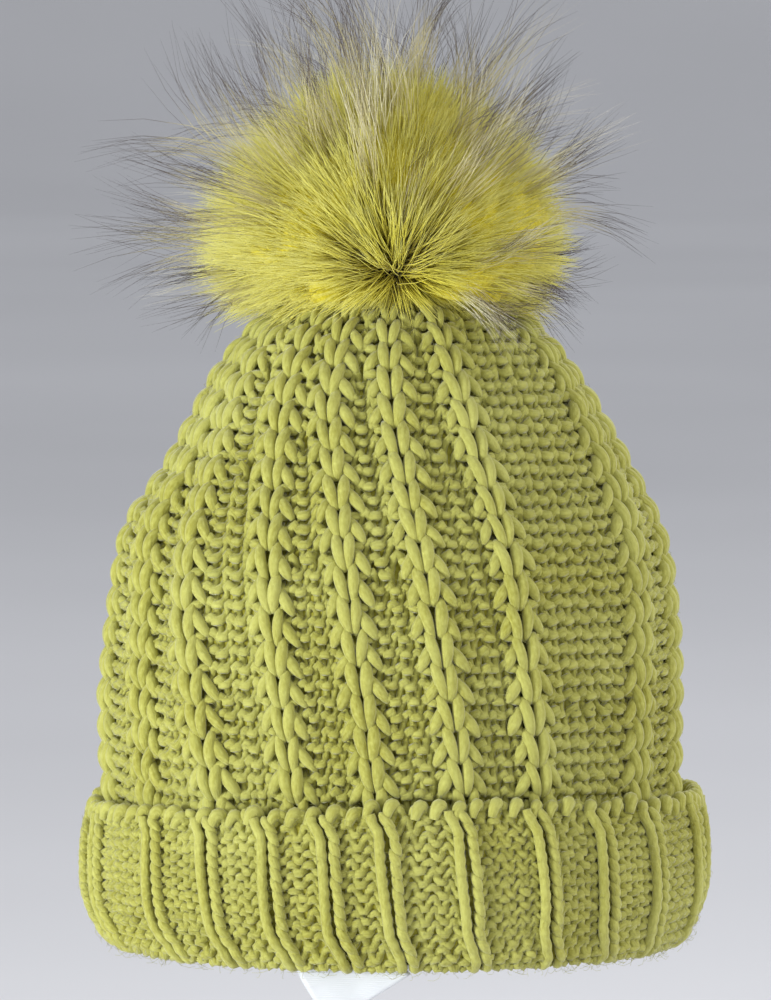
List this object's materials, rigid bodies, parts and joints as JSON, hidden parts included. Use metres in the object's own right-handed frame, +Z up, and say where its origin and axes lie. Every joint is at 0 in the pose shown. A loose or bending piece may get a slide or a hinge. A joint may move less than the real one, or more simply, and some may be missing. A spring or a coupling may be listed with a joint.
{
  "type": "pom pom beanie",
  "caption": "Chunky knitted beanie with raised knit columns, a turned-up ribbed cuff and a removable fur pom on a press stud.",
  "frame": {"origin": "middle of the head opening, level with the fold at the bottom of the cuff", "axes": "+Z up through the crown as worn, -Y to the front, +X to the right seen from the front"},
  "size_m": [0.2244, 0.2064, 0.3852],
  "materials": {
    "lime_yarn": "matte",
    "nickel": "satin",
    "sewing_thread": "satin",
    "label_thread": "satin",
    "felt": "matte",
    "pelt_leather": "matte",
    "fibre_filling": "matte",
    "lime_fur": "satin",
    "guard_hair": "satin",
    "label_satin": "satin"
  },
  "bodies": {
    "hat": {"knit_body": "lime_yarn", "turned_up_cuff": "lime_yarn", "cast_on_edge": "lime_yarn", "back_seam": "lime_yarn", "crown_gather_yarn": "lime_yarn", "snap_socket": "nickel", "socket_stitches": "sewing_thread", "snap_ring_spring": "nickel", "label_stitches": "label_thread"},
    "pom_stud": {"snap_stud": "nickel"},
    "pom_base": {"pom_felt_disc": "felt", "stud_stitches": "sewing_thread"},
    "pom_shank": {"pom_thread_shank": "sewing_thread"},
    "pom": {"pom_pelt": "pelt_leather", "pom_filling": "fibre_filling", "pom_gather_thread": "sewing_thread", "pom_underfur": "lime_fur", "pom_guard_hair": "guard_hair"},
    "label": {"care_label": "label_satin"}
  },
  "joints": [
    {"name": "pom_release", "type": "slide", "parent": "hat", "child": "pom_stud", "axis": [0, 0, 1], "range_m": [0, 0.08]},
    {"name": "pom_spin", "type": "hinge", "parent": "pom_stud", "child": "pom_base", "pos_m": [0, 0, 0.2414], "axis": [0, 0, 1], "continuous": true},
    {"name": "pom_lean_back", "type": "hinge", "parent": "pom_base", "child": "pom_shank", "pos_m": [0, 0, 0.2447], "axis": [1, 0, 0], "range_deg": [-10, 10], "stiffness_Nm_per_rad": 0.15},
    {"name": "pom_lean_side", "type": "hinge", "parent": "pom_shank", "child": "pom", "pos_m": [0, 0, 0.2447], "axis": [0, 1, 0], "range_deg": [-10, 10], "stiffness_Nm_per_rad": 0.15},
    {"name": "label_swing", "type": "hinge", "parent": "hat", "child": "label", "pos_m": [-0.02, -0.07303, 0.024], "axis": [0.9868, -0.1617, 0], "range_deg": [0, 80]}
  ]
}
